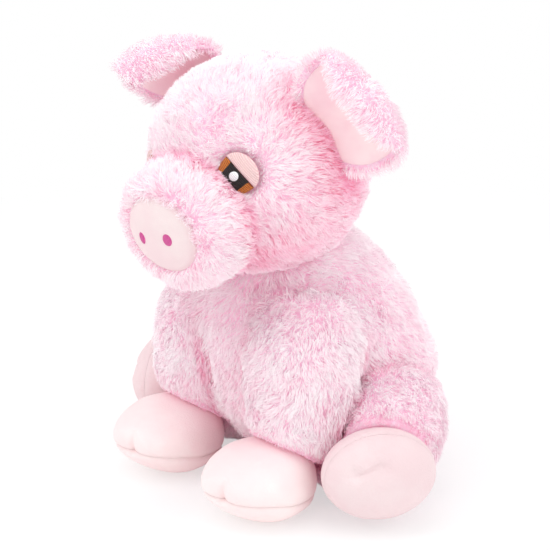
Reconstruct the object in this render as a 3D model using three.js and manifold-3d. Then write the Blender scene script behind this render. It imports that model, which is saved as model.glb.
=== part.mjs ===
// A sitting plush pig: furry covers over fibre filling, smooth trotters, a flat snout and folded ears.
// Millimetres, +Z up. The pig faces -Y, its left side is +X, and it sits on the plane Z = 0.
import * as THREE from 'three';
import { mergeVertices } from 'three/addons/utils/BufferGeometryUtils.js';
import Module from 'manifold-3d';

const wasm = await Module();
wasm.setup();

const rad = THREE.MathUtils.degToRad;
const vec = (x, y, z) => new THREE.Vector3(x, y, z);

// Clearances and cloth
const seam_gap = 0.3;          // between pieces that are sewn together or lie on each other
const cover_wall = 6;          // fur fabric with its pile pressed
const velour_wall = 2.5;       // short smooth pile of the trotters
const thread_thick = 1.6;      // embroidery
const rest_cut = 0.5;          // a soft underside is pressed flat this deep
const cut_overrun = 120;       // how far a cutting solid runs past what it cuts

// Torso
const torso_height = 156;
const torso_half_width = 66;
const torso_half_depth = 69;
const seat_y = 15;
const neck_y = -30;
const neck_hole_radius = 22;   // the head is sewn over this opening
const neck_pivot = { y: -26, z: 95 };
const neck_crown_radius = 63.5;  // about the pivot: filling that bulges through the opening

// Head
const head_half_width = 65;
const head_half_depth = 62;
const head_half_height = 63;
const head_y = -34;
const head_z = 195;
const head_pitch = 13;
const head_roll = -10;
const head_turn = 5;           // towards its left

// Muzzle and snout
const muzzle_half_width = 43;
const muzzle_half_height = 39;
const muzzle_reach = 83;       // head's middle to the front of the muzzle
const muzzle_root = 20;        // head's middle to the muzzle's hidden back end
const muzzle_drop = 7;
const snout_half_width = 27;
const snout_half_height = 23;
const snout_thick = 4;
const snout_dome = 4;
const snout_recess = 2.5;
const nostril_half_width = 3;
const nostril_half_height = 4;
const nostril_spacing = 18;
const nostril_proud = 0.8;

// Eyes, embroidered on the clipped fur of the head's front
const eye_turn = 40.5;
const eye_rise = 14.5;
const eye_radius = 11.5;
const eye_recess = 3;
const eye_rim = 1;
const lid_slope = 62;          // the lid's straight edge drops outwards
const iris_radius = 10.5;
const pupil_half_width = 6.5;
const pupil_depth = 7.5;
const highlight_radius = 2.5;
const highlight_drop = 3.2;

// Ears
const ear_root_depth = 14;     // hidden in the head, before it is cut away
const ear_fold = { left: 23, right: 17 };   // from the head's surface to the fold
const ear_fold_radius = 7;
const ear_fold_turn = 150;
const ear_fold_skew = { left: 20, right: 50 };  // between the fold and the line where the ear is sewn on
const ear_flap = { left: 18, right: 16 };   // past the fold
const ear_half_width = { left: 36, right: 26 };
const ear_shift = { left: 2, right: 3 };    // along the line where it is sewn on
const ear_shift_sense = { left: -1, right: 1 };  // down or up that line
const ear_cup = 6;
const ear_back_thick = 9;
const ear_lining_thick = 3;
const ear_lining_inset = 5;
const ear_side_turn = { left: 66, right: 42 };  // from the top of the head down to the ear
const ear_back_shift = { left: 4, right: 12 };
const ear_droop_turn = { left: -12, right: -38 };
const ear_swing_turn = { left: 14, right: -34 };  // back from pointing straight out

// Front legs
const shoulder = { x: 40, y: -29, z: 112 };
const front_leg_top = { x: 40, y: -26, z: 134 };
const front_ankle = { x: 43, y: -44, z: 22 };
const front_leg_half_width = 34;
const front_leg_half_depth = 34;

// Hind legs
const hip = { x: 50, y: 2, z: 42 };
const hind_leg_root = { x: 32, y: 24, z: 45 };
const hind_foot = { x: 116, y: -36, z: 33 };  // outermost point of the hind sole
const hind_leg_half_width = 43;
const hind_leg_half_depth = 43;

// Trotters
const trotter_length = 73;
const trotter_width = 62;
const trotter_height = 45;
const trotter_ahead = 24;      // middle of the trotter, ahead of the ankle
const trotter_turn = 10;       // both front toes lie turned to the pig's left
const sole_height = 17;
const cleft_half_width = 3;
const cleft_depth = 8;
const cleft_reach = 12;        // back over the toe
const cleft_rise = 14;         // from the toe's tip up
const cleft_fall = 5;          // and down
const hind_sole_width = 67;
const hind_sole_height = 54;
const hind_trotter_thick = 42;
const crease_half_length = 11;
const crease_depth = 6;
const crease_rise = 14;        // above the middle of the hind sole
const crease_shift = -12;      // towards the front legs

// Tail
const tail_root = { y: 72, z: 42 };
const tail_radius = 5;
const tail_stem = 18;
const tail_curl_radius = 9;
const tail_curl_rise = 12;
const tail_turns = 1.2;

// Bean pouch in the seat
const pouch_radius = 38;
const pouch_height = 26;

// How far the sewn joints give, in degrees from and to
const neck_give = [-12, 9];
const shoulder_give = [0, 22];
const hip_give = [-4, 12];
const ear_give = [-12, 12];
const tail_give = [-18, 18];
const sweep_steps = 2;

// Facets
const large = { facets: 24, rings: 12 };
const middling = { facets: 16, rings: 8 };
const inner = { facets: 10, rings: 6 };
const small = { facets: 6, rings: 4 };
const pad_facets = 14;
const pad_steps = 2;
const crown_facets = 36;
const outline_segments = 6;
const ear_flat_rings = 4;
const ear_fold_rings = 5;
const ear_flap_rings = 3;
const ear_facets = 12;
const tail_steps = 12;
const tail_facets = 6;

// Half width shares along each form, from its first end to its last
const torso_shares = [[0, 0.95], [0.3, 1.02], [0.6, 0.93], [0.8, 0.82], [1, 0.76]];
const head_shares = [[0, 0.96], [0.35, 1.02], [0.7, 1], [1, 0.95]];
const muzzle_shares = [[0, 0.9], [0.5, 0.96], [1, 1]];
const front_leg_shares = [[0, 1.05], [0.4, 1.04], [0.75, 0.95], [1, 0.95]];
const hind_leg_shares = [[0, 1.05], [0.35, 1.07], [0.75, 0.88], [1, 0.76]];
const trotter_shares = [[0, 0.86], [0.35, 1.02], [0.7, 1], [1, 0.84]];
const plain_shares = [[0, 1], [0.5, 1], [1, 1]];
const torso_low_share = 0.35;
const torso_chest_share = 0.7;

// Materials
const finish = (color, roughness) => new THREE.MeshStandardMaterial({ color, roughness, metalness: 0 });
const fur = finish('#f7c4e0', 0.95);
const velour = finish('#fae6e6', 0.85);
const satin = finish('#f9e6e2', 0.6);
const fibre = finish('#f6f4ef', 1);
const canvas = finish('#e6e0d4', 0.9);
const lid_thread = finish('#f0c4b4', 0.7);
const iris_thread = finish('#c8662a', 0.6);
const pupil_thread = finish('#241c1c', 0.5);
const white_thread = finish('#fbfbfb', 0.5);
const nostril_thread = finish('#d24b96', 0.6);

// Solids from geometries, and back
function solid(geometry) {
  const bare = geometry.clone();
  Object.keys(bare.attributes).filter((name) => name !== 'position')
    .forEach((name) => bare.deleteAttribute(name));
  const merged = mergeVertices(bare, 1e-4);
  return new wasm.Manifold(new wasm.Mesh({
    numProp: 3,
    vertProperties: new Float32Array(merged.attributes.position.array),
    triVerts: new Uint32Array(merged.index.array),
  }));
}

// A cut can leave crumbs beside the piece, so the piece is the largest body
function pieceOf(body, name, material) {
  const bodies = body.decompose().sort((a, b) => b.volume() - a.volume());
  const mesh = bodies[0].getMesh();
  const geometry = new THREE.BufferGeometry();
  geometry.setAttribute('position', new THREE.BufferAttribute(mesh.vertProperties, 3));
  geometry.setIndex(new THREE.BufferAttribute(mesh.triVerts, 1));
  geometry.computeVertexNormals();
  const piece = new THREE.Mesh(geometry, material);
  piece.name = name;
  return piece;
}

const placed = (body, matrix) => body.transform(matrix.elements);

// A closed skin over rings of points with a point at each end, its faces turned outwards
function skinOver(rings, first, last) {
  const count = rings[0].length;
  const points = [first, ...rings.flat(), last];
  const faces = [];
  const at = (ring, k) => 1 + ring * count + (k % count);
  for (let k = 0; k < count; k += 1) {
    faces.push([0, at(0, k + 1), at(0, k)]);
    faces.push([points.length - 1, at(rings.length - 1, k), at(rings.length - 1, k + 1)]);
    for (let ring = 0; ring < rings.length - 1; ring += 1) {
      faces.push([at(ring, k), at(ring, k + 1), at(ring + 1, k + 1)]);
      faces.push([at(ring, k), at(ring + 1, k + 1), at(ring + 1, k)]);
    }
  }
  const volume = faces.reduce((sum, [a, b, c]) => (
    sum + points[a].dot(new THREE.Vector3().crossVectors(points[b], points[c]))), 0);
  const geometry = new THREE.BufferGeometry();
  geometry.setAttribute('position', new THREE.Float32BufferAttribute(points.flatMap((p) => p.toArray()), 3));
  geometry.setIndex(faces.flatMap(([a, b, c]) => (volume > 0 ? [a, b, c] : [a, c, b])));
  return solid(geometry);
}

// The share at a place along a form, on a smooth curve through the listed shares
function shareAt(shares, along) {
  const points = shares.map(([place, share]) => new THREE.Vector2(place, share));
  const last = shares.length - 1;
  const leg = Math.max(0, shares.findIndex(([place]) => place >= along) - 1);
  const into = (along - shares[leg][0]) / (shares[leg + 1][0] - shares[leg][0]);
  return new THREE.SplineCurve(points).getPoint((leg + into) / last).y;
}

const power = (value, exponent) => Math.sign(value) * Math.abs(value) ** exponent;

// A soft form that swells and tapers along a spine. blunt runs from 1, an egg's end, towards 0,
// a square one, and so does square round its section. grow moves the whole surface out, or in.
function softForm(shape, grow = 0) {
  const { spine, across, deep, shares, blunt, square, side, facets, rings } = shape;
  const curve = new THREE.CatmullRomCurve3(spine);
  const loops = [];
  for (let ring = 1; ring < rings; ring += 1) {
    const turn = (Math.PI * ring) / rings;
    const along = (1 - Math.cos(turn)) / 2;
    const tangent = curve.getTangent(along);
    const over = side.clone().addScaledVector(tangent, -side.dot(tangent)).normalize();
    const up = new THREE.Vector3().crossVectors(tangent, over);
    const centre = curve.getPoint(along).addScaledVector(tangent, -Math.cos(turn) * grow);
    const share = shareAt(shares, along);
    const close = Math.sin(turn) ** blunt;
    loops.push(Array.from({ length: facets }, (_, k) => {
      const angle = (2 * Math.PI * k) / facets;
      return centre.clone()
        .addScaledVector(over, (across * share + grow) * close * power(Math.cos(angle), square))
        .addScaledVector(up, (deep * share + grow) * close * power(Math.sin(angle), square));
    }));
  }
  const first = curve.getPoint(0).addScaledVector(curve.getTangent(0), -grow);
  const last = curve.getPoint(1).addScaledVector(curve.getTangent(1), grow);
  return skinOver(loops, first, last);
}

// The hollow of a cover, and the filling that lies in it
const hollowOf = (shape, wall) => softForm({ ...shape, ...inner }, -wall);
const packedIn = (shape, wall) => softForm({ ...shape, ...inner }, -wall - seam_gap);

function turned(body, point, axis, degrees) {
  const matrix = new THREE.Matrix4().makeTranslation(point)
    .multiply(new THREE.Matrix4().makeRotationAxis(axis, rad(degrees)))
    .multiply(new THREE.Matrix4().makeTranslation(point.clone().negate()));
  return placed(body, matrix);
}

// All that a neighbour covers, as a piece turning on it sees it over the joint's give
function sweptPast(body, { point, axis, give }) {
  const [from, to] = give;
  let space = body;
  for (let step = 0; step <= sweep_steps; step += 1) {
    space = space.add(turned(body, point, axis, -(from + ((to - from) * step) / sweep_steps)));
  }
  return space;
}

// Everything beyond a plane
function beyond(point, direction) {
  const block = new THREE.BoxGeometry(cut_overrun, cut_overrun, cut_overrun);
  block.translate(0, 0, cut_overrun / 2);
  const turn = new THREE.Quaternion().setFromUnitVectors(rise_axis, direction);
  block.applyMatrix4(new THREE.Matrix4().compose(point, turn, vec(1, 1, 1)));
  return solid(block);
}

const cross_axis = vec(1, 0, 0);
const rise_axis = vec(0, 0, 1);

// Torso
const torso_shape = {
  spine: [
    vec(0, seat_y, -rest_cut),
    vec(0, seat_y, torso_height * torso_low_share),
    vec(0, (seat_y + neck_y) / 2, torso_height * torso_chest_share),
    vec(0, neck_y, torso_height),
  ],
  across: torso_half_width,
  deep: torso_half_depth,
  shares: torso_shares,
  blunt: 0.62,
  square: 1,
  side: cross_axis,
  ...large,
};
const torso_clear = softForm(torso_shape, seam_gap);

function neckHole(radius) {
  const hole = new THREE.CylinderGeometry(radius, radius, torso_height / 2, pad_facets);
  hole.rotateX(Math.PI / 2);
  hole.translate(0, neck_y, torso_height);
  return solid(hole);
}

// The filling's crown turns on itself as the head nods
function neckCrown(grow) {
  const ball = new THREE.SphereGeometry(neck_crown_radius + grow, crown_facets, crown_facets / 2);
  ball.rotateZ(Math.PI / 2);
  ball.translate(0, neck_pivot.y, neck_pivot.z);
  return solid(ball).intersect(neckHole(neck_hole_radius - seam_gap + grow));
}

function torsoPieces() {
  const under_floor = beyond(vec(0, seat_y, 0), rise_axis.clone().negate());
  const packed = packedIn(torso_shape, cover_wall);
  const pouch_shape = {
    spine: [vec(0, seat_y, 0), vec(0, seat_y, pouch_height / 2), vec(0, seat_y, pouch_height)],
    across: pouch_radius,
    deep: pouch_radius,
    shares: plain_shares,
    blunt: 0.7,
    square: 1,
    side: cross_axis,
    ...inner,
  };
  const cover = softForm(torso_shape).subtract(under_floor)
    .subtract(hollowOf(torso_shape, cover_wall)).subtract(neckHole(neck_hole_radius));
  const filling = packed.add(neckCrown(0)).subtract(softForm(pouch_shape, seam_gap));
  return [
    pieceOf(cover, 'torso_cover', fur),
    pieceOf(filling, 'torso_filling', fibre),
    pieceOf(softForm(pouch_shape).intersect(packed), 'bean_pouch', canvas),
  ];
}

// Head: its pieces are modelled about its own middle, and turn with its group
const head_group = new THREE.Group();
head_group.position.set(0, head_y, head_z);
head_group.rotation.set(rad(head_pitch), rad(head_roll), rad(head_turn), 'ZYX');
head_group.updateMatrixWorld();

const head_shape = {
  spine: [vec(0, 0, -head_half_height), vec(0, 0, 0), vec(0, 0, head_half_height)],
  across: head_half_width,
  deep: head_half_depth,
  shares: head_shares,
  blunt: 0.9,
  square: 1,
  side: cross_axis,
  ...large,
};
const muzzle_shape = {
  spine: [
    vec(0, -muzzle_root, 0),
    vec(0, -(muzzle_root + muzzle_reach) / 2, -muzzle_drop),
    vec(0, -muzzle_reach, -muzzle_drop),
  ],
  across: muzzle_half_width,
  deep: muzzle_half_height,
  shares: muzzle_shares,
  blunt: 0.3,
  square: 1,
  side: cross_axis,
  ...middling,
};

// An oval pad that faces forward, its crowned front starting at the given place
function pad({ half_width, half_height, thick, dome, place }, grow = 0) {
  const front = Array.from({ length: pad_steps + 1 }, (_, k) => {
    const out = Math.cos((Math.PI / 2) * (k / pad_steps));
    return new THREE.Vector2(k < pad_steps ? out : 0, dome * (1 - out ** 2) + grow);
  });
  const back = [new THREE.Vector2(0, -thick - grow), new THREE.Vector2(1, -thick - grow)];
  const lathe = new THREE.LatheGeometry([...back, ...front], pad_facets);
  lathe.scale(half_width + grow, 1, half_height + grow);
  lathe.rotateX(Math.PI);
  lathe.translate(place.x, place.y, place.z);
  return solid(lathe);
}

const snout_shape = {
  half_width: snout_half_width,
  half_height: snout_half_height,
  thick: snout_thick,
  dome: snout_dome,
  place: vec(0, -muzzle_reach + snout_recess, -muzzle_drop),
};

function nostrilShape(side) {
  const off = (side * nostril_spacing) / 2;
  const crown = snout_dome * (1 - (off / snout_half_width) ** 2);
  return {
    half_width: nostril_half_width,
    half_height: nostril_half_height,
    thick: thread_thick,
    dome: nostril_proud,
    place: vec(off, snout_shape.place.y - crown, snout_shape.place.z),
  };
}

// Eyes: each thread patch is an outline cut from a thin layer under the fur's clipped surface
function eyeFrame(side) {
  const turn = side * rad(eye_turn);
  const rise = rad(eye_rise);
  const facing = vec(
    Math.sin(turn) * Math.cos(rise), -Math.cos(turn) * Math.cos(rise), Math.sin(rise));
  const right = vec(Math.cos(turn), Math.sin(turn), 0);
  const up = new THREE.Vector3().crossVectors(facing, right);
  return new THREE.Matrix4().makeBasis(right, up, facing)
    .multiply(new THREE.Matrix4().makeRotationZ(-side * rad(lid_slope)));
}

function ovalPrism(frame, { drop, half_width, half_height, from, to }) {
  const outline = new THREE.Shape();
  outline.absellipse(0, -drop, half_width, half_height, from, to);
  const block = new THREE.ExtrudeGeometry(outline, {
    depth: cut_overrun, bevelEnabled: false, curveSegments: outline_segments,
  });
  return placed(solid(block), frame);
}

const whole_turn = { from: 0, to: 2 * Math.PI };
const upper_half = { from: 0, to: Math.PI };
const lower_half = { from: Math.PI, to: 2 * Math.PI };

function eyeParts(side, name) {
  const frame = eyeFrame(side);
  const oval = (drop, half_width, half_height, arc) => (
    ovalPrism(frame, { drop, half_width, half_height, ...arc }));
  const layer_back = softForm(head_shape, -eye_recess - thread_thick);
  const layer = softForm(head_shape, -eye_recess).subtract(layer_back);
  const split = seam_gap / 2;
  const lid = oval(-split, eye_radius, eye_radius, upper_half);
  const iris = oval(split, iris_radius, iris_radius, lower_half);
  const pupil = oval(split, pupil_half_width, pupil_depth, lower_half);
  const pupil_room = oval(split, pupil_half_width + seam_gap, pupil_depth + seam_gap, whole_turn);
  const spark = oval(highlight_drop, highlight_radius, highlight_radius, whole_turn);
  const spark_size = highlight_radius + seam_gap;
  const spark_room = oval(highlight_drop, spark_size, spark_size, whole_turn);
  const socket_size = eye_radius + eye_rim;
  const socket = oval(0, socket_size, socket_size, whole_turn)
    .subtract(softForm(head_shape, -eye_recess - thread_thick - seam_gap));
  return {
    socket,
    pieces: [
      pieceOf(layer.intersect(lid), `${name}_eyelid`, lid_thread),
      pieceOf(layer.intersect(iris).subtract(pupil_room), `${name}_iris`, iris_thread),
      pieceOf(layer.intersect(pupil).subtract(spark_room), `${name}_pupil`, pupil_thread),
      pieceOf(layer.intersect(spark), `${name}_eye_highlight`, white_thread),
    ],
  };
}

function headPieces() {
  const nod = { point: vec(0, neck_pivot.y, neck_pivot.z), axis: cross_axis, give: neck_give };
  const neck_space = placed(
    sweptPast(torso_clear.add(neckCrown(seam_gap)), nod), head_group.matrixWorld.clone().invert());
  const eyes = [eyeParts(1, 'left'), eyeParts(-1, 'right')];
  const nostrils = [nostrilShape(1), nostrilShape(-1)];
  const head_clear = softForm(head_shape, seam_gap);
  const snout_room = pad(snout_shape, seam_gap);
  const head_cover = softForm(head_shape).subtract(hollowOf(head_shape, cover_wall))
    .subtract(neck_space).subtract(eyes[0].socket).subtract(eyes[1].socket);
  const muzzle_cover = softForm(muzzle_shape).subtract(head_clear)
    .subtract(hollowOf(muzzle_shape, cover_wall)).subtract(snout_room);
  const muzzle_filling = packedIn(muzzle_shape, cover_wall).subtract(head_clear).subtract(snout_room);
  const snout = pad(snout_shape).subtract(pad(nostrils[0], seam_gap)).subtract(pad(nostrils[1], seam_gap));
  return [
    pieceOf(head_cover, 'head_cover', fur),
    pieceOf(packedIn(head_shape, cover_wall).subtract(neck_space), 'head_filling', fibre),
    pieceOf(muzzle_cover, 'muzzle_cover', fur),
    pieceOf(muzzle_filling, 'muzzle_filling', fibre),
    pieceOf(snout, 'snout_disc', velour),
    pieceOf(pad(nostrils[0]), 'left_nostril', nostril_thread),
    pieceOf(pad(nostrils[1]), 'right_nostril', nostril_thread),
    ...eyes[0].pieces,
    ...eyes[1].pieces,
  ];
}

// Ears: each is an oval leaf sewn on along a slanting line, and its tip folds forward over its own lining
function earBase(side, name) {
  const down = rad(ear_side_turn[name]);
  const swing = rad(ear_swing_turn[name]);
  const droop = rad(ear_droop_turn[name]);
  const skew = rad(ear_fold_skew[name]);
  const level = vec(side * Math.cos(swing), Math.sin(swing), 0);
  const out = level.clone().multiplyScalar(Math.cos(droop)).addScaledVector(rise_axis, -Math.sin(droop));
  const up = level.clone().multiplyScalar(Math.sin(droop)).addScaledVector(rise_axis, Math.cos(droop));
  return {
    name,
    skew,
    shift: ear_shift[name] * ear_shift_sense[name],
    up,
    ahead: vec(side * Math.sin(swing), -Math.cos(swing), 0),
    to_fold: out.clone().multiplyScalar(Math.cos(skew)).addScaledVector(up, Math.sin(skew)),
    along_fold: up.clone().multiplyScalar(Math.cos(skew)).addScaledVector(out, -Math.sin(skew)),
    middle: vec(side * head_half_width * Math.sin(down), ear_back_shift[name], head_half_width * Math.cos(down)),
  };
}

// Where the bent leaf's middle sheet is, and which way its lining faces, this far towards the fold and along it
function earPoint({ name, ahead, to_fold, along_fold, middle }, length, over) {
  const fold = ear_fold[name];
  const bend = ear_fold_radius * rad(ear_fold_turn);
  const turn = THREE.MathUtils.clamp((length - fold) / ear_fold_radius, 0, rad(ear_fold_turn));
  const past = Math.max(length - fold - bend, 0);
  const gone = Math.min(length, fold) + ear_fold_radius * Math.sin(turn) + past * Math.cos(turn);
  const forward = ear_fold_radius * (1 - Math.cos(turn)) + past * Math.sin(turn);
  return {
    point: middle.clone().addScaledVector(to_fold, gone).addScaledVector(along_fold, over)
      .addScaledVector(ahead, forward),
    normal: ahead.clone().multiplyScalar(Math.cos(turn)).addScaledVector(to_fold, -Math.sin(turn)),
  };
}

// The flat leaf's oval, and its two edges at a length towards the fold
function earLeaf({ name, skew, shift }, inset) {
  const tip = ear_fold[name] + ear_fold_radius * rad(ear_fold_turn) + ear_flap[name];
  const centre = (tip - ear_root_depth) / 2;
  const reach = (tip + ear_root_depth) / 2 - inset;
  const half = ear_half_width[name] - inset;
  const [c, s] = [Math.cos(skew), Math.sin(skew)];
  const middle = centre * c + shift * s;
  const span = Math.hypot(reach * c, half * s);
  const edges = (length) => {
    const [a, b] = [length * c - centre, length * s - shift];
    const square = (s / reach) ** 2 + (c / half) ** 2;
    const cross = (b * c) / half ** 2 - (a * s) / reach ** 2;
    const rest = (a / reach) ** 2 + (b / half) ** 2 - 1;
    const root = Math.sqrt(Math.max(cross ** 2 - square * rest, 0));
    return [(-cross - root) / square, (-cross + root) / square];
  };
  return { centre, half, first: middle - span, last: middle + span, edges };
}

// One layer of the leaf: flat on the side that meets the other layer, crowned on its own side
function earLayer(base, { thick, inset, lift }) {
  const leaf = earLeaf(base, inset);
  const fold = ear_fold[base.name];
  const unfolded = fold + ear_fold_radius * rad(ear_fold_turn);
  const lengths = [
    ...Array.from({ length: ear_flat_rings }, (_, k) => leaf.first + ((fold - leaf.first) * (k + 1 / 4)) / ear_flat_rings),
    ...Array.from({ length: ear_fold_rings }, (_, k) => fold + ((unfolded - fold) * k) / ear_fold_rings),
    ...Array.from({ length: ear_flap_rings }, (_, k) => (
      unfolded + (leaf.last - unfolded) * Math.sin((Math.PI / 2) * (k / ear_flap_rings)))),
  ];
  const surface = (length, over, height) => {
    const { point, normal } = earPoint(base, length, over);
    const out = length * Math.cos(base.skew) - over * Math.sin(base.skew);
    const up = length * Math.sin(base.skew) + over * Math.cos(base.skew) - base.shift;
    const bow = ear_cup * (up / leaf.half) ** 2 * THREE.MathUtils.clamp(1 - out / fold, 0, 1);
    return point.addScaledVector(normal, bow + lift + height);
  };
  const loops = lengths.map((length) => {
    const [from, to] = leaf.edges(length);
    const taper = (to - from) / 2 / leaf.half;
    return Array.from({ length: ear_facets }, (_, k) => {
      const angle = (2 * Math.PI * k) / ear_facets;
      const crown = thick * Math.max(Math.sin(angle), 0) ** (1 / 2) * Math.min(taper * 1.4, 1);
      return surface(length, (from + to) / 2 + ((to - from) / 2) * Math.cos(angle), crown);
    });
  });
  const end = (length) => surface(length, leaf.edges(length)[0], thick / 4);
  return skinOver(loops, end(leaf.first), end(leaf.last));
}

function earPieces(side, name) {
  const base = earBase(side, name);
  const turning = { point: base.middle, axis: base.up, give: ear_give };
  const head_space = sweptPast(softForm(head_shape, seam_gap), turning);
  const back = { thick: -ear_back_thick, inset: 0, lift: 0 };
  const lining = { thick: ear_lining_thick, inset: ear_lining_inset, lift: seam_gap };
  const lining_space = head_space.add(earLayer(base, { ...back, lift: seam_gap }));
  return [
    pieceOf(earLayer(base, back).subtract(head_space), `${name}_ear_back`, fur),
    pieceOf(earLayer(base, lining).subtract(lining_space), `${name}_ear_lining`, satin),
  ];
}

// A trotter: an upper and a sole that meet at a seam, over one filling
function trotterPieces(name, shape, furrow_shape, seam, to_sole) {
  const half_gap = seam_gap / 2;
  const above = beyond(seam.clone().addScaledVector(to_sole, half_gap), to_sole.clone().negate());
  const below = beyond(seam.clone().addScaledVector(to_sole, -half_gap), to_sole);
  const under_floor = beyond(vec(seam.x, seam.y, 0), rise_axis.clone().negate());
  const whole = softForm(shape).subtract(softForm(furrow_shape)).subtract(under_floor);
  const hollow = hollowOf(shape, velour_wall).subtract(softForm(furrow_shape, velour_wall));
  const skin = whole.subtract(hollow);
  const filling = packedIn(shape, velour_wall)
    .subtract(softForm(furrow_shape, velour_wall + seam_gap));
  return [
    pieceOf(skin.subtract(below), `${name}_trotter_upper`, velour),
    pieceOf(skin.subtract(above), `${name}_trotter_sole`, velour),
    pieceOf(filling, `${name}_trotter_filling`, fibre),
  ];
}

function legPieces(name, leg_shape, trotter_shape, neighbours, turning) {
  const under_floor = beyond(vec(turning.point.x, turning.point.y, 0), rise_axis.clone().negate());
  const room = sweptPast(neighbours, turning).add(softForm(trotter_shape, seam_gap)).add(under_floor);
  const cover = softForm(leg_shape).subtract(hollowOf(leg_shape, cover_wall)).subtract(room);
  return [
    pieceOf(cover, `${name}_leg_cover`, fur),
    pieceOf(packedIn(leg_shape, cover_wall).subtract(room), `${name}_leg_filling`, fibre),
  ];
}

function frontShapes(side) {
  const middle = vec(side * front_ankle.x, front_ankle.y - trotter_ahead, trotter_height / 2 - rest_cut);
  const turn = rad(trotter_turn);
  const ahead = vec(Math.sin(turn), -Math.cos(turn), 0);
  const heel = middle.clone().addScaledVector(ahead, -trotter_length / 2);
  const toe = middle.clone().addScaledVector(ahead, trotter_length / 2);
  const cleft_front = toe.clone().addScaledVector(ahead, cleft_half_width);
  const trotter_shape = {
    spine: [heel, middle, toe],
    across: trotter_width / 2,
    deep: trotter_height / 2,
    shares: trotter_shares,
    blunt: 0.6,
    square: 0.9,
    side: vec(Math.cos(turn), Math.sin(turn), 0),
    ...middling,
  };
  const furrow_shape = {
    spine: [
      cleft_front.clone().addScaledVector(rise_axis, -cleft_fall),
      cleft_front,
      toe.clone().addScaledVector(ahead, -cleft_reach).addScaledVector(rise_axis, cleft_rise + cleft_depth / 2),
    ],
    across: cleft_half_width,
    deep: cleft_depth,
    shares: plain_shares,
    blunt: 0.5,
    square: 1,
    side: vec(Math.cos(turn), Math.sin(turn), 0),
    ...small,
  };
  const leg_shape = {
    spine: [
      vec(side * front_leg_top.x, front_leg_top.y, front_leg_top.z),
      vec(side * (front_leg_top.x + front_ankle.x) / 2, (front_leg_top.y + front_ankle.y) / 2,
        (front_leg_top.z + front_ankle.z) / 2),
      vec(side * front_ankle.x, front_ankle.y, front_ankle.z),
    ],
    across: front_leg_half_width,
    deep: front_leg_half_depth,
    shares: front_leg_shares,
    blunt: 0.5,
    square: 1,
    side: cross_axis,
    ...middling,
  };
  return { leg_shape, trotter_shape, furrow_shape, seam: vec(middle.x, middle.y, sole_height) };
}

function frontLeg(side, name) {
  const { leg_shape, trotter_shape, furrow_shape, seam } = frontShapes(side);
  const turning = {
    point: vec(side * shoulder.x, shoulder.y, shoulder.z),
    axis: cross_axis.clone().negate(),
    give: shoulder_give,
  };
  return [
    ...legPieces(name, leg_shape, trotter_shape, torso_clear, turning),
    ...trotterPieces(name, trotter_shape, furrow_shape, seam, rise_axis.clone().negate()),
  ];
}

function hindLeg(side, name) {
  const root = vec(side * hind_leg_root.x, hind_leg_root.y, hind_leg_root.z);
  const foot = vec(side * hind_foot.x, hind_foot.y, hind_foot.z);
  const outward = vec(foot.x - side * hip.x, foot.y - hip.y, 0).normalize();
  const level = new THREE.Vector3().crossVectors(rise_axis, outward);
  const inward = (length) => foot.clone().addScaledVector(outward, -length);
  const trotter_shape = {
    spine: [inward(hind_trotter_thick), inward(hind_trotter_thick / 2), foot],
    across: hind_sole_width / 2,
    deep: hind_sole_height / 2,
    shares: trotter_shares,
    blunt: 0.5,
    square: 1,
    side: level,
    ...middling,
  };
  const crease = foot.clone().addScaledVector(level, side * crease_shift)
    .addScaledVector(rise_axis, crease_rise);
  const furrow_shape = {
    spine: [-1, 0, 1].map((way) => crease.clone().addScaledVector(level, way * crease_half_length)),
    across: crease_depth,
    deep: cleft_half_width,
    shares: plain_shares,
    blunt: 0.8,
    square: 1,
    side: outward,
    ...small,
  };
  const leg_end = inward(hind_trotter_thick - sole_height);
  const leg_shape = {
    spine: [root, root.clone().add(leg_end).multiplyScalar(1 / 2), leg_end],
    across: hind_leg_half_width,
    deep: hind_leg_half_depth,
    shares: hind_leg_shares,
    blunt: 0.5,
    square: 1,
    side: level,
    ...middling,
  };
  const turning = {
    point: vec(side * hip.x, hip.y, hip.z),
    axis: rise_axis.clone().multiplyScalar(side),
    give: hip_give,
  };
  const front = frontShapes(side);
  const neighbours = torso_clear.add(softForm(front.leg_shape, seam_gap))
    .add(softForm(front.trotter_shape, seam_gap));
  return [
    ...legPieces(name, leg_shape, trotter_shape, neighbours, turning),
    ...trotterPieces(name, trotter_shape, furrow_shape, inward(sole_height), outward),
  ];
}

// Tail: a short stem and a curl round the line that it leaves the back on
function tailPiece() {
  const stem = new THREE.Vector3(0, tail_root.y, tail_root.z);
  const start = stem.y + tail_stem;
  const loops = [];
  const spine = [stem, vec(0, start, stem.z)];
  for (let step = 1; step <= tail_steps; step += 1) {
    const share = step / tail_steps;
    const turn = share * tail_turns * 2 * Math.PI;
    spine.push(vec(
      tail_curl_radius * Math.sin(turn),
      start + tail_curl_rise * share,
      stem.z + tail_curl_radius * (1 - Math.cos(turn)),
    ));
  }
  const curve = new THREE.CatmullRomCurve3(spine, false, 'centripetal');
  const frames = curve.computeFrenetFrames(tail_steps);
  for (let step = 1; step < tail_steps; step += 1) {
    const share = step / tail_steps;
    const radius = tail_radius * (1 - share ** 4) ** 0.5;
    const centre = curve.getPointAt(share);
    loops.push(Array.from({ length: tail_facets }, (_, k) => {
      const angle = (2 * Math.PI * k) / tail_facets;
      return centre.clone()
        .addScaledVector(frames.normals[step], radius * Math.cos(angle))
        .addScaledVector(frames.binormals[step], radius * Math.sin(angle));
    }));
  }
  const torso_space = sweptPast(torso_clear, { point: stem, axis: rise_axis, give: tail_give });
  return pieceOf(skinOver(loops, spine[0], curve.getPointAt(1)).subtract(torso_space), 'tail', fur);
}

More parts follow.
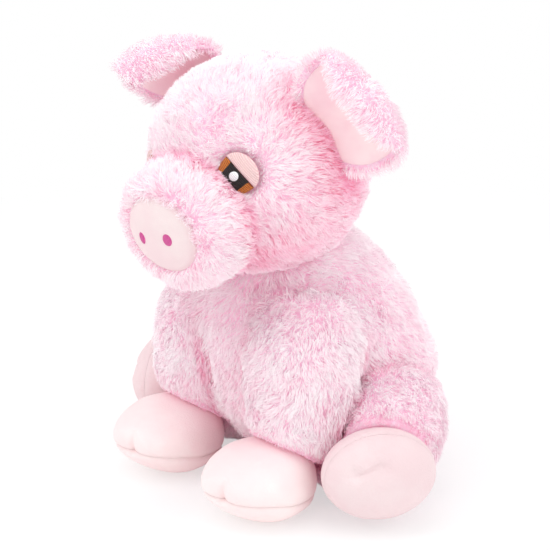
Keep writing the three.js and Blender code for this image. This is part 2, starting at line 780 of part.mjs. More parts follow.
const pig = new THREE.Group();
head_group.add(...headPieces(), ...earPieces(1, 'left'), ...earPieces(-1, 'right'));
pig.add(
  ...torsoPieces(),
  head_group,
  ...frontLeg(1, 'left_front'),
  ...frontLeg(-1, 'right_front'),
  ...hindLeg(1, 'left_hind'),
  ...hindLeg(-1, 'right_hind'),
  tailPiece(),
);
pig.position.set(0, -seat_y, 0);

export default pig;
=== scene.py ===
import math

import bmesh
import bpy
import numpy as np
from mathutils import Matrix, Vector
from mathutils.bvhtree import BVHTree
from mathutils.kdtree import KDTree


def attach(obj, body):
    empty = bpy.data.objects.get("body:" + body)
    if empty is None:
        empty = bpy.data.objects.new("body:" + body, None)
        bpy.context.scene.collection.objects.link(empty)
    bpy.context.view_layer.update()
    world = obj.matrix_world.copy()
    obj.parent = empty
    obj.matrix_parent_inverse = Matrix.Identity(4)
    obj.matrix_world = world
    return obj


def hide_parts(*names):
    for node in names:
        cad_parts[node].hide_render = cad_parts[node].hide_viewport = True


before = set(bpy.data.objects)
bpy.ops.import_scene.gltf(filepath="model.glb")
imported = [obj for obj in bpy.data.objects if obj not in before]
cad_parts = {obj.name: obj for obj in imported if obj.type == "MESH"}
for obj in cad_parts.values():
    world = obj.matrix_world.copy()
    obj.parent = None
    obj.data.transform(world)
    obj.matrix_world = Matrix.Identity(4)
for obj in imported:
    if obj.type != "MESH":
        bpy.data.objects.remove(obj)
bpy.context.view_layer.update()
scene = bpy.context.scene
scene.view_settings.view_transform = "Standard"
scene.cycles.max_bounces = 20
scene.cycles.diffuse_bounces = 18
MM = 0.001
SIDES = {"left": 1, "right": -1}
LIMBS = ("left_front", "right_front", "left_hind", "right_hind")


def rgb(r, g, b):
    """A colour as seen, from 0 to 255, as Blender's linear one."""
    linear = [((c / 255 + 0.055) / 1.055) ** 2.4 if c > 10 else c / 255 / 12.92 for c in (r, g, b)]
    return (*linear, 1.0)


def side_of(name):
    return SIDES[name.split("_")[0]]


def unit(v):
    return v / np.maximum(np.linalg.norm(v, axis=-1, keepdims=True), 1e-12)


def turn(axis, degrees):
    a = math.radians(degrees)
    c, s = math.cos(a), math.sin(a)
    return {
        "x": np.array([[1, 0, 0], [0, c, -s], [0, s, c]]),
        "y": np.array([[c, 0, s], [0, 1, 0], [-s, 0, c]]),
        "z": np.array([[c, -s, 0], [s, c, 0], [0, 0, 1]]),
    }[axis]


# The head's own frame, in millimetres
HEAD_AT = np.array([0, -49.0, 195])
HEAD_TURN = turn("z", 5) @ turn("y", -10) @ turn("x", 13)
HEAD_HALF = np.array([65.0, 62, 63])


def from_head(p):
    """Points of the head's frame, in millimetres, in the row frame in metres."""
    return (np.asarray(p, float) @ HEAD_TURN.T + HEAD_AT) * MM


def to_head(p):
    return (np.asarray(p, float) / MM - HEAD_AT) @ HEAD_TURN


# Camera, lamps, floor
CAMERA_TURN, CAMERA_RISE, CAMERA_AWAY = math.radians(50), math.radians(19), 1.1
CAMERA_AIM = Vector((0, -0.035, 0.130))
PHOTO_WIDTH, FOCAL_LENGTH, PHOTO_SHIFT = 550, 1870, -9  # pixels
SENSOR_WIDTH = 36
LAMP_AIM = Vector((0, -0.03, 0.12))
LAMPS = {  # place, width, power
    "key": ((-0.35, -1.1, 1.25), 0.9, 3.6),
    "fill": ((1.3, 0.35, 0.9), 1.2, 3.6),
    "top": ((0.1, -0.3, 1.5), 1.0, 4.2),
}
WORLD_STRENGTH = 0.9  # as a light; the camera sees it at strength 1
FLOOR_HALF, FLOOR_DROP = 6, 0.0002
FLOOR_COLOUR = (0.97, 0.97, 0.97, 1)
# The floor shows white from FLOOR_WHITE on, and this share of white up to FLOOR_NEAR from the pig's middle
FLOOR_NEAR, FLOOR_WHITE, FLOOR_SHARE = 0.25, 0.6, 0.55


def aim(name, data, at, way):
    """Puts a camera or a lamp at its place, looking this way."""
    ob = bpy.data.objects.new(name, data)
    ob.location = at
    ob.rotation_mode = "QUATERNION"
    ob.rotation_quaternion = way.to_track_quat("-Z", "Y")
    scene.collection.objects.link(ob)
    return ob


def set_camera():
    level = math.cos(CAMERA_RISE)
    back = Vector((math.sin(CAMERA_TURN) * level, -math.cos(CAMERA_TURN) * level, math.sin(CAMERA_RISE)))
    data = bpy.data.cameras.new("camera")
    data.sensor_width = SENSOR_WIDTH
    data.lens = FOCAL_LENGTH / PHOTO_WIDTH * SENSOR_WIDTH
    data.shift_y = PHOTO_SHIFT / PHOTO_WIDTH
    data.clip_start, data.clip_end = 0.05, 20
    scene.camera = aim("camera", data, CAMERA_AIM + back * CAMERA_AWAY, -back)


def set_lamps():
    for name, (at, width, power) in LAMPS.items():
        data = bpy.data.lights.new(name, "AREA")
        data.shape = "DISK"
        data.size = width
        data.energy = power
        aim(name, data, at, LAMP_AIM - Vector(at))


def seen_straight(tree):
    """1 where the camera, a mirror or a glass shows the surface, 0 where it only lights other things."""
    path = tree.nodes.new("ShaderNodeLightPath")
    either = path.outputs["Is Camera Ray"]
    for name in ("Is Glossy Ray", "Is Transmission Ray"):
        more = tree.nodes.new("ShaderNodeMath")
        more.operation = "MAXIMUM"
        tree.links.new(either, more.inputs[0])
        tree.links.new(path.outputs[name], more.inputs[1])
        either = more.outputs[0]
    return either


def set_world():
    world = bpy.data.worlds.new("studio")
    scene.world = world
    world.use_nodes = True
    tree = world.node_tree
    tree.nodes.clear()
    out = tree.nodes.new("ShaderNodeOutputWorld")
    lit = tree.nodes.new("ShaderNodeBackground")
    lit.inputs["Color"].default_value = (1, 1, 1, 1)
    lit.inputs["Strength"].default_value = WORLD_STRENGTH
    shown = tree.nodes.new("ShaderNodeBackground")
    shown.inputs["Color"].default_value = (1, 1, 1, 1)
    mix = tree.nodes.new("ShaderNodeMixShader")
    tree.links.new(seen_straight(tree), mix.inputs[0])
    tree.links.new(lit.outputs[0], mix.inputs[1])
    tree.links.new(shown.outputs[0], mix.inputs[2])
    tree.links.new(mix.outputs[0], out.inputs["Surface"])


def set_floor():
    mesh = bpy.data.meshes.new("floor")
    corners = [(x * FLOOR_HALF, y * FLOOR_HALF, 0) for x, y in ((-1, -1), (1, -1), (1, 1), (-1, 1))]
    mesh.from_pydata(corners, [], [(0, 1, 2, 3)])
    floor = bpy.data.objects.new("floor", mesh)
    floor.location.z = -FLOOR_DROP
    scene.collection.objects.link(floor)
    mat = bpy.data.materials.new("floor")
    mat.use_nodes = True
    tree = mat.node_tree
    tree.nodes.clear()
    out = tree.nodes.new("ShaderNodeOutputMaterial")
    matt = tree.nodes.new("ShaderNodeBsdfDiffuse")
    matt.inputs["Color"].default_value = FLOOR_COLOUR
    glow = tree.nodes.new("ShaderNodeEmission")
    mix = tree.nodes.new("ShaderNodeMixShader")
    place = tree.nodes.new("ShaderNodeNewGeometry")
    away = tree.nodes.new("ShaderNodeVectorMath")
    away.operation = "LENGTH"
    tree.links.new(place.outputs["Position"], away.inputs[0])
    fade = tree.nodes.new("ShaderNodeMapRange")
    fade.inputs["From Min"].default_value = FLOOR_NEAR
    fade.inputs["From Max"].default_value = FLOOR_WHITE
    fade.inputs["To Min"].default_value = FLOOR_SHARE
    fade.inputs["To Max"].default_value = 1.0
    tree.links.new(away.outputs["Value"], fade.inputs["Value"])
    share = tree.nodes.new("ShaderNodeMath")
    share.operation = "MULTIPLY"
    tree.links.new(seen_straight(tree), share.inputs[0])
    tree.links.new(fade.outputs["Result"], share.inputs[1])
    tree.links.new(share.outputs[0], mix.inputs[0])
    tree.links.new(matt.outputs[0], mix.inputs[1])
    tree.links.new(glow.outputs[0], mix.inputs[2])
    tree.links.new(mix.outputs[0], out.inputs["Surface"])
    mesh.materials.append(mat)


# Materials
class Cloth:
    """A material with its node tree at hand."""

    def __init__(self, name, roughness=0.9, sheen=0.0, tint=(1, 1, 1, 1)):
        self.mat = bpy.data.materials.new(name)
        self.mat.use_nodes = True
        self.tree = self.mat.node_tree
        self.shader = self.tree.nodes["Principled BSDF"]
        self.shader.inputs["Roughness"].default_value = roughness
        self.shader.inputs["Specular IOR Level"].default_value = 0.2
        self.shader.inputs["Sheen Weight"].default_value = sheen
        self.shader.inputs["Sheen Roughness"].default_value = 0.6
        self.shader.inputs["Sheen Tint"].default_value = tint

    def node(self, kind, **values):
        n = self.tree.nodes.new(kind)
        for key, value in values.items():
            if key in n.inputs:
                n.inputs[key].default_value = value
            else:
                setattr(n, key, value)
        return n

    def link(self, a, b):
        self.tree.links.new(a, b)

    def place(self):
        return self.node("ShaderNodeTexCoord").outputs["Object"]

    def noise(self, scale, detail, rough=0.5):
        n = self.node("ShaderNodeTexNoise", Scale=scale, Detail=detail, Roughness=rough)
        self.link(self.place(), n.inputs["Vector"])
        return n.outputs["Fac"]

    def ramp(self, value, low, high, a, b):
        """a below low, b above high."""
        n = self.node("ShaderNodeMapRange", interpolation_type="SMOOTHSTEP")
        n.inputs["From Min"].default_value = low
        n.inputs["From Max"].default_value = high
        self.link(value, n.inputs["Value"])
        return self.mix(n.outputs["Result"], a, b)

    def mix(self, share, a, b):
        n = self.node("ShaderNodeMix", data_type="RGBA")
        for socket, value in ((n.inputs[6], a), (n.inputs[7], b)):
            if isinstance(value, tuple):
                socket.default_value = value
            else:
                self.link(value, socket)
        self.link(share, n.inputs[0])
        return n.outputs[2]

    def colour(self, value):
        self.link(value, self.shader.inputs["Base Color"])

    def bump(self, height, distance, strength=1.0):
        n = self.node("ShaderNodeBump", Distance=distance, Strength=strength)
        self.link(height, n.inputs["Height"])
        self.link(n.outputs["Normal"], self.shader.inputs["Normal"])


def fur_material():
    """Deeper pink at a strand's root, as painted shade between the strands, and light at its tip. The map
    holds (tone, share of the length).
    """
    root = (rgb(255, 150, 196), rgb(255, 252, 254))
    tip = (rgb(255, 200, 226), rgb(255, 254, 254))
    c = Cloth("fur", roughness=0.85, sheen=0.25, tint=rgb(255, 235, 245))
    uv = c.node("ShaderNodeUVMap", uv_map="OFBake")
    split = c.node("ShaderNodeSeparateXYZ")
    c.link(uv.outputs["UV"], split.inputs[0])
    tone, along = split.outputs["X"], split.outputs["Y"]
    c.colour(c.ramp(along, 0.0, 0.75, c.mix(tone, *root), c.mix(tone, *tip)))
    return c.mat


def undercoat_material():
    c = Cloth("undercoat", roughness=0.95)
    c.colour(c.ramp(c.noise(350, 3), 0.35, 0.65, rgb(255, 208, 231), rgb(255, 228, 242)))
    c.bump(c.noise(1400, 2), 0.0006)
    return c.mat


def velour_material(name, base, shade):
    c = Cloth(name, roughness=0.9, sheen=0.35, tint=rgb(255, 240, 240))
    broad = c.ramp(c.noise(28, 3), 0.35, 0.7, shade, base)
    fine = c.noise(900, 3, 0.7)
    nap = c.ramp(fine, 0.3, 0.7, (0.35, 0.35, 0.35, 1), (0.0, 0.0, 0.0, 1))
    c.colour(c.mix(nap, broad, shade))
    c.bump(fine, 0.0004, 0.7)
    return c.mat


def satin_material():
    c = Cloth("ear_satin", roughness=0.7, sheen=0.3, tint=rgb(255, 240, 240))
    c.colour(c.ramp(c.noise(45, 3), 0.3, 0.7, rgb(247, 213, 220), rgb(250, 230, 231)))
    c.bump(c.noise(1100, 3, 0.7), 0.0003, 0.6)
    return c.mat


def thread_material(name, light, dark, axis=(0, 1, 0), angle=0.7):
    """Satin stitch: parallel threads, whose direction is turned round the axis by the angle."""
    c = Cloth(name, roughness=0.55, sheen=0.15)
    turned = c.node("ShaderNodeVectorRotate", rotation_type="AXIS_ANGLE")
    turned.inputs["Axis"].default_value = axis
    turned.inputs["Angle"].default_value = angle
    c.link(c.place(), turned.inputs["Vector"])
    wave = c.node("ShaderNodeTexWave", Scale=380, Distortion=1.5, Detail=2)
    wave.inputs["Detail Scale"].default_value = 1.5
    c.link(turned.outputs[0], wave.inputs["Vector"])
    c.colour(c.ramp(wave.outputs["Fac"], 0.1, 0.8, dark, light))
    c.bump(wave.outputs["Fac"], 0.0004, 0.8)
    return c.mat


def canvas_material():
    c = Cloth("canvas", roughness=0.9)
    wave = c.node("ShaderNodeTexWave", Scale=300, wave_type="BANDS")
    c.link(c.place(), wave.inputs["Vector"])
    c.colour(c.ramp(wave.outputs["Fac"], 0.2, 0.8, rgb(206, 200, 186), rgb(228, 224, 212)))
    c.bump(wave.outputs["Fac"], 0.0003)
    return c.mat


# Meshes
def add(name, co, faces, mat=None):
    mesh = bpy.data.meshes.new(name)
    mesh.from_pydata([tuple(p) for p in co], [], [tuple(f) for f in faces])
    mesh.update()
    mesh.shade_smooth()
    if mat:
        mesh.materials.append(mat)
    ob = bpy.data.objects.new(name, mesh)
    scene.collection.objects.link(ob)
    return ob


def rows_of(items, key, width, kind=float):
    """One property of all the items, as rows of numbers."""
    flat = np.empty(len(items) * width, kind)
    items.foreach_get(key, flat)
    return flat.reshape(-1, width)


def points(mesh):
    return rows_of(mesh.vertices, "co", 3)


def normals_of(mesh):
    return rows_of(mesh.vertices, "normal", 3)


def edges_of(mesh):
    return rows_of(mesh.edges, "vertices", 2, np.int32)


def triangles_of(mesh):
    mesh.calc_loop_triangles()
    return rows_of(mesh.loop_triangles, "vertices", 3, np.int32)


def set_points(mesh, co):
    mesh.vertices.foreach_set("co", np.ascontiguousarray(co, np.float32).ravel())
    mesh.update()


def relax(mesh, times):
    """Each point moves halfway to the mean of its neighbours, this many times."""
    e, co = edges_of(mesh), points(mesh)
    count = np.bincount(e.ravel(), minlength=len(co))[:, None]
    for _ in range(times):
        total = np.zeros_like(co)
        np.add.at(total, e[:, 0], co[e[:, 1]])
        np.add.at(total, e[:, 1], co[e[:, 0]])
        co += 0.5 * (total / np.maximum(count, 1) - co)
    set_points(mesh, co)


def applied(ob):
    """The object's mesh with its modifiers applied, put in place of the old one."""
    graph = bpy.context.evaluated_depsgraph_get()
    graph.update()
    mesh = bpy.data.meshes.new_from_object(ob.evaluated_get(graph))
    ob.modifiers.clear()
    old, ob.data = ob.data, mesh
    mesh.name = ob.name
    bpy.data.meshes.remove(old)


def tree_of(ob):
    return BVHTree.FromPolygons([Vector(p) for p in points(ob.data)], triangles_of(ob.data).tolist())


def bag(name, nodes, voxel=4.0, calm=6):
    """One closed bag round the named solids: joined, remeshed and smoothed."""
    co, faces, start = [], [], 0
    for n in nodes:
        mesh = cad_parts[n].data
        co.append(points(mesh))
        faces += [[start + v for v in p.vertices] for p in mesh.polygons]
        start += len(co[-1])
    ob = add(name, np.concatenate(co), faces)
    remesh = ob.modifiers.new("remesh", "REMESH")
    remesh.mode = "VOXEL"
    remesh.voxel_size = voxel * MM
    applied(ob)
    keep_largest(ob)
    relax(ob.data, calm)
    return ob


def keep_largest(ob):
    """Drops the small closed shells that a remesh leaves inside."""
    e = edges_of(ob.data)
    label = np.arange(len(ob.data.vertices))
    while True:
        low = np.minimum(label[e[:, 0]], label[e[:, 1]])
        new = label.copy()
        np.minimum.at(new, e[:, 0], low)
        np.minimum.at(new, e[:, 1], low)
        new = new[new]
        if (new == label).all():
            break
        label = new
    values, counts = np.unique(label, return_counts=True)
    co = points(ob.data)
    spans = [np.ptp(co[label == v], axis=0).max() if c > 8 else 0 for v, c in zip(values, counts)]
    main = values[int(np.argmax(spans))]
    if len(values) > 1:
        bm = bmesh.new()
        bm.from_mesh(ob.data)
        bm.verts.ensure_lookup_table()
        bmesh.ops.delete(bm, geom=[bm.verts[i] for i in np.flatnonzero(label != main)], context="VERTS")
        bm.to_mesh(ob.data)
        bm.free()


CLOTH_FRAMES, CLOTH_PRESSURE = 20, 4.0
SWELL, BAG_GAP, BAG_REACH = 4.0 * MM, 0.0006, 0.01


def puff(bags):
    """Lets the bags swell as filled cloth does, by up to SWELL and never closer to a neighbour."""
    rest = {ob.name: points(ob.data) for ob in bags}
    trees = {ob.name: tree_of(ob) for ob in bags}
    for ob in bags:
        s = ob.modifiers.new("cloth", "CLOTH").settings
        s.quality = 4
        s.use_pressure = True
        s.uniform_pressure_force = CLOTH_PRESSURE
        s.tension_stiffness = s.compression_stiffness = 12
        s.shear_stiffness = 6
        s.bending_stiffness = 0.4
        s.effector_weights.gravity = 0
    for f in range(1, CLOTH_FRAMES + 1):
        scene.frame_set(f)
    for ob in bags:
        applied(ob)
    for ob in bags:
        start = rest[ob.name]
        move = points(ob.data) - start
        far = np.linalg.norm(move, axis=1, keepdims=True)
        room = np.full(len(start), SWELL)
        lo, hi = start.min(0), start.max(0)
        for other, tree in trees.items():
            o = rest[other]
            if other == ob.name or (o.min(0) > hi + BAG_REACH).any() or (o.max(0) < lo - BAG_REACH).any():
                continue
            for i, p in enumerate(start):
                gap = tree.find_nearest(Vector(p), BAG_REACH)[3]
                if gap is not None:
                    room[i] = min(room[i], max(0.0, (gap - BAG_GAP) / 2))
        co = start + move * np.minimum(1, room[:, None] / np.maximum(far, 1e-9))
        co[:, 2] = np.maximum(co[:, 2], 0)
        set_points(ob.data, co)
    scene.frame_set(1)


def finer(ob, levels):
    sub = ob.modifiers.new("subdivision", "SUBSURF")
    sub.levels = sub.render_levels = levels
    applied(ob)
    ob.data.shade_smooth()


SKIN_CLEAR = 0.0004  # above the floor


def sink(ob, depth):
    """Moves the surface in, so that the fur's tips and not its roots make the outline."""
    mesh = ob.data
    co = points(mesh) - normals_of(mesh) * np.reshape(depth, (-1, 1)) * MM
    co[:, 2] = np.maximum(co[:, 2], SKIN_CLEAR)
    set_points(mesh, co)


def hump(x, width):
    return np.exp(-((x / width) ** 2))


# Noise on points, the same at each run
def field(p, cell, seed, width=1):
    """Smooth noise, about -1 to 1, with features of the given size in millimetres."""
    q = np.asarray(p) / (cell * MM) + 1000
    base = np.floor(q).astype(np.int64)
    f = q - base
    f = f * f * (3 - 2 * f)
    total = 0
    for corner in range(8):
        step = np.array([corner & 1, corner >> 1 & 1, corner >> 2 & 1])
        weight = np.prod(np.where(step == 1, f, 1 - f), axis=1)
        at = base + step
        # A hash of the corner's place
        h = (at[:, 0] * 73856093) ^ (at[:, 1] * 19349663) ^ (at[:, 2] * 83492791) ^ (seed * 2654435761)
        values = []
        for k in range(width):
            g = (h + k * 40503) & 0xFFFFFFFF
            g = ((g ^ (g >> 16)) * 0x45D9F3B) & 0xFFFFFFFF
            g = ((g ^ (g >> 16)) * 0x45D9F3B) & 0xFFFFFFFF
            g = g ^ (g >> 16)
            values.append(g / 0x7FFFFFFF - 1)
        total = total + weight[:, None] * np.stack(values, 1)
    return total if width > 1 else total[:, 0]


# Fur
def scatter(ob, per_mm2, rng, allow):
    """Random places on the surface, with their normals. allow gives each triangle's share from 0 to 1."""
    tri, co, no = triangles_of(ob.data), points(ob.data), normals_of(ob.data)
    a, b, c = co[tri[:, 0]], co[tri[:, 1]], co[tri[:, 2]]
    area = np.linalg.norm(np.cross(b - a, c - a), axis=1) / 2 / MM**2
    share = allow((a + b + c) / 3, unit(np.cross(b - a, c - a))) * area
    count = int(per_mm2 * share.sum())
    pick = rng.choice(len(tri), count, p=share / share.sum())
    r1, r2 = rng.random(count), rng.random(count)
    s = np.sqrt(r1)
    w = np.stack([1 - s, s * (1 - r2), s * r2], 1)
    place = (co[tri[pick]] * w[:, :, None]).sum(1)
    normal = unit((no[tri[pick]] * w[:, :, None]).sum(1))
    return place, normal


# A strand's root, middle and tip: their share of the length, of the height and of the reach along the cloth
LEVELS = np.array([0, 0.5, 1.0])
RISE = np.array([0, 0.8, 1.0])
REACH = np.array([0, 0.36, 1.0])
TAPER = np.array([1.0, 0.8])  # width at the root and middle; the tip is a point
STRAND_WIDTH, ROLL = 0.46, 0.45
TUFT, GATHER = 3.0, 0.3  # millimetres across, and how far its tips lean together
NAP_SHARE, BROAD_SWIRL, FINE_SWIRL, ASTRAY = 0.8, 0.6, 0.55, 0.3
LONG_WAVE, HIGH_WAVE, UNEVEN = 0.22, 0.35, 0.12
# The fur's tone: its mean, random broad, fine, tuft and strand variation, and painted light that makes
# upward-facing fur lighter
SHADE, BROAD_SHADE, FINE_SHADE, PAINTED_TOP_LIGHT, TUFT_SHADE, STRAND_SHADE = 0.91, 0.06, 0.05, 0.08, 0.05, 0.04
STRAND_FACES = np.array([0, 1, 3, 2, 2, 3, 4])  # a quad and the tip's triangle
FACE_LEVELS = LEVELS[np.array([0, 0, 1, 1, 1, 1, 2])]
CLEAR_GAP, CLEAR_REACH, CLEAR_MOST = 0.0002, 0.006, 0.004


def strands(name, body, ob, nap, seed, per_mm2, length=4.6, lift=4.6,
            allow=None, trim=None, tone=None, clear=()):
    """Fur on a surface: flat tapered blades that lie along the nap and gather into tufts.

    allow says where it grows, trim which share of its length stays, tone the painted shade that darkens it,
    and the tips keep out of the pieces in clear.
    """
    rng = np.random.default_rng(seed)
    place, normal = scatter(ob, per_mm2, rng, allow or (lambda p, n: np.ones(len(p))))
    count = len(place)
    full = trim(place) if trim else np.ones(count)

    way = NAP_SHARE * nap(place)
    way = way + BROAD_SWIRL * field(place, 18, seed + 1, 3) + FINE_SWIRL * field(place, 5, seed + 2, 3)
    way = way + ASTRAY * rng.normal(size=place.shape)
    way = unit(way - (way * normal).sum(1, keepdims=True) * normal)
    long = length * (1 + LONG_WAVE * field(place, 9, seed + 3) + UNEVEN * rng.normal(size=count)) * full
    high = lift * (1 + HIGH_WAVE * field(place, 6, seed + 4) + UNEVEN * rng.normal(size=count)) * full
    line = (place[:, None] + normal[:, None] * (high[:, None] * RISE)[..., None] * MM
            + way[:, None] * (long[:, None] * REACH)[..., None] * MM)

    # Tufts: strands lean towards the nearest of some of them
    heads = rng.choice(count, max(1, int(count / (per_mm2 * TUFT**2))), replace=False)
    tree = KDTree(len(heads))
    for i, k in enumerate(heads):
        tree.insert(Vector(place[k]), i)
    tree.balance()
    mine = np.array([tree.find(Vector(p))[1] for p in place])
    pull = GATHER * (0.75 + 0.5 * rng.random(count)) * LEVELS[:, None] ** 1.2
    pull = np.minimum(pull, 0.95).T[..., None]
    line = line + (line[heads[mine]] - line) * pull
    line[:, :, 2] = np.maximum(line[:, :, 2], 0.0003 + 0.0006 * LEVELS)

    # Tips that end inside a smooth piece come out again
    for tree in clear:
        for i in range(count):
            tip = Vector(line[i, 2])
            hit = tree.find_nearest(tip, CLEAR_REACH)
            if hit[0] is not None and (tip - hit[0]).dot(hit[1]) < CLEAR_GAP:
                out = min(CLEAR_MOST, (hit[0] - tip).length + 2 * CLEAR_GAP)
                line[i, 1:] += np.array(hit[1]) * out * np.array([[0.7], [1.0]])

    side = unit(np.cross(way, normal))
    roll = rng.normal(size=count) * ROLL
    side = side * np.cos(roll)[:, None] + normal * np.sin(roll)[:, None]
    half = 0.5 * STRAND_WIDTH * MM * (0.7 + 0.6 * rng.random(count)) * np.minimum(1, 0.4 + full)
    spread = side[:, None] * (half[:, None] * TAPER)[..., None]
    left, right = line[:, :2] - spread, line[:, :2] + spread
    co = np.concatenate([np.stack([left, right], 2).reshape(count, 4, 3), line[:, 2:]], 1)

    by_tuft = rng.normal(size=len(heads))[mine]
    shade = SHADE + BROAD_SHADE * field(place, 26, seed + 5) + FINE_SHADE * field(place, 8, seed + 6)
    # Painted light: fur facing up is made lighter, fur facing down darker
    shade = shade + PAINTED_TOP_LIGHT * normal[:, 2] + TUFT_SHADE * by_tuft + STRAND_SHADE * rng.normal(size=count)
    # tone adds painted shade in hollows, creases and low places
    shade = np.clip(shade + (tone(place) if tone else 0), 0.02, 0.98)

    loops = ((5 * np.arange(count))[:, None] + STRAND_FACES).ravel()
    total = np.tile([4, 3], count)
    mesh = bpy.data.meshes.new(name)
    mesh.vertices.add(5 * count)
    mesh.vertices.foreach_set("co", co.astype(np.float32).ravel())
    mesh.loops.add(len(loops))
    mesh.loops.foreach_set("vertex_index", loops.astype(np.int32))
    mesh.polygons.add(len(total))
    mesh.polygons.foreach_set("loop_start", np.concatenate([[0], np.cumsum(total)[:-1]]).astype(np.int32))
    mesh.update(calc_edges=True)
    uv = mesh.uv_layers.new(name="OFBake")
    off = np.array([-1, 1, 1, -1, -1, 1, 0]) * 0.006
    up = FACE_LEVELS * 0.98 + 0.01
    flat = np.stack([shade[:, None] + off, np.broadcast_to(up, (count, 7))], 2)
    uv.data.foreach_set("uv", flat.astype(np.float32).ravel())
    mesh.shade_smooth()
    mesh.materials.append(fur)
    made = bpy.data.objects.new(name, mesh)
    scene.collection.objects.link(made)
    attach(made, body)


# Ears: each a leaf that grows out of the head along a slanting base line, its tip bent over forward.
# In degrees: the leaf's droop and swing, how far down from the head's top its root is, and the fold's skew.
# In millimetres: how far back the root is, the fold's start and bulge, the flap past it, and the leaf's
# shift along its root and half width.
EARS = {
    "left": {"side": 1, "droop": -12, "swing": 14, "down": 66, "skew": 20, "back": 4,
             "fold": 23, "bulge": 6, "flap": 13, "shift": -2, "half": 36},
    "right": {"side": -1, "droop": -31, "swing": -34, "down": 42, "skew": 62, "back": 12,
              "fold": 12, "bulge": 3, "flap": 19, "shift": 5, "half": 27},
}
# The buried length, the fold's radius, the cup's depth and the waves in the cloth
EAR_ROOT, EAR_FOLD, EAR_CUP, EAR_WAVE = 14, 7, 6, 0.6
EAR_FOLD_TURN = math.radians(150)


def ear_base(ear):
    """The ways out along the ear, up its base line and forward, and the middle of the base line."""
    side, down = ear["side"], math.radians(ear["down"])
    swing, droop = math.radians(ear["swing"]), math.radians(ear["droop"])
    level = np.array([side * math.cos(swing), math.sin(swing), 0])
    rise, half = np.array([0, 0, 1.0]), HEAD_HALF[0]
    return {
        "out": level * math.cos(droop) - rise * math.sin(droop),
        "up": level * math.sin(droop) + rise * math.cos(droop),
        "ahead": np.array([side * math.sin(swing), -math.cos(swing), 0]),
        "middle": np.array([side * half * math.sin(down), ear["back"], half * math.cos(down)]),
    }


def ear_at(ear, base, d, u):
    """Points of the bent leaf's middle sheet, and its normal towards the lining."""
    turned = math.radians(ear["skew"])
    along, across = d * math.cos(turned) + u * math.sin(turned), u * math.cos(turned) - d * math.sin(turned)
    bend = EAR_FOLD * EAR_FOLD_TURN
    fold = ear["fold"] + ear["bulge"] * np.clip(1 - (across / ear["half"]) ** 2, -0.4, 1)
    a = np.clip((along - fold) / EAR_FOLD, 0, EAR_FOLD_TURN)
    past = np.maximum(along - fold - bend, 0)
    gone = np.minimum(along, fold) + EAR_FOLD * np.sin(a) + past * np.cos(a)
    forward = EAR_FOLD * (1 - np.cos(a)) + past * np.sin(a)
    n = base["out"] * math.cos(turned) + base["up"] * math.sin(turned)
    t = base["up"] * math.cos(turned) - base["out"] * math.sin(turned)
    point = base["middle"] + gone[..., None] * n + across[..., None] * t
    point = point + forward[..., None] * base["ahead"]
    normal = base["ahead"] * np.cos(a)[..., None] - n * np.sin(a)[..., None]
    return point, normal


def ear_layer(name, key, thick, inset, lift, mat):
    """thick is (towards the lining, away from it), in millimetres."""
    rings, facets, ear = 44, 120, EARS[key]
    base = ear_base(ear)
    tip = ear["fold"] + EAR_FOLD * EAR_FOLD_TURN + ear["flap"]
    centre, reach = (tip - EAR_ROOT) / 2, (tip + EAR_ROOT) / 2 - inset
    a = 2 * math.pi * np.arange(facets) / facets
    share = np.sin(np.linspace(0, math.pi / 2, rings + 1)[1:])

    def sheet(k, thick):
        d = centre + reach * np.cos(a) * k[:, None]
        u = ear["shift"] + (ear["half"] - inset) * np.sin(a) * k[:, None]
        point, normal = ear_at(ear, base, d, u)
        edge = (1 - k[:, None] ** 2) ** 0.5
        bow = EAR_CUP * (u - ear["shift"]) ** 2 / ear["half"] ** 2 * np.clip(1 - d / ear["fold"], 0, 1)
        return point + normal * (bow + lift + thick * edge)[..., None]

    front, back = sheet(share, thick[0]), sheet(share[:-1], -thick[1])
    poles = [sheet(np.zeros(1), thick[0])[0, :1], sheet(np.zeros(1), -thick[1])[0, :1]]
    co = np.concatenate([front.reshape(-1, 3), back.reshape(-1, 3)] + poles)
    co = co + EAR_WAVE * field(co * MM, 15, 91, 3)
    faces = []
    lower = rings * facets

    def row(r, k):
        """The front's rings, then the back's from the rim in."""
        return r * facets + k if r < rings else lower + (2 * rings - 2 - r) * facets + k

    for r in range(2 * rings - 2):
        for k in range(facets):
            n = (k + 1) % facets
            faces.append((row(r, k), row(r, n), row(r + 1, n), row(r + 1, k)))
    for k in range(facets):
        n = (k + 1) % facets
        faces.append((len(co) - 2, row(0, n), row(0, k)))
        faces.append((len(co) - 1, row(2 * rings - 2, k), row(2 * rings - 2, n)))
    ob = add(name, from_head(co), faces, mat)
    face_out(ob)
    return ob


def face_out(ob):
    bm = bmesh.new()
    bm.from_mesh(ob.data)
    bmesh.ops.recalc_face_normals(bm, faces=bm.faces)
    if bm.calc_volume(signed=True) < 0:
        bmesh.ops.reverse_faces(bm, faces=bm.faces)
    bm.to_mesh(ob.data)
    bm.free()


def outside(ob, tree, depth):
    """Takes away what lies deeper than this inside another piece, in millimetres."""
    bm = bmesh.new()
    bm.from_mesh(ob.data)
    inside = []
    for v in bm.verts:
        hit = tree.find_nearest(v.co, 0.05)
        if hit[0] is not None and (v.co - hit[0]).dot(hit[1]) < -depth * MM:
            inside.append(v)
    bmesh.ops.delete(bm, geom=inside, context="VERTS")
    bm.to_mesh(ob.data)
    bm.free()


# Eyes: each in a plane frame on the head, its depth from the head's own oval form
EYE_TURN, EYE_RISE, LID_SLOPE = math.radians(38.4), math.radians(14.8), math.radians(62)
EYE_FORM = HEAD_HALF + np.array([0.4, 0.4, 0])
EYE_DEPTH = 1.8
EYE_BARE, EYE_SHOWN = 11.7, 6.8  # no fur this close to the middle, and no stitches this far below it


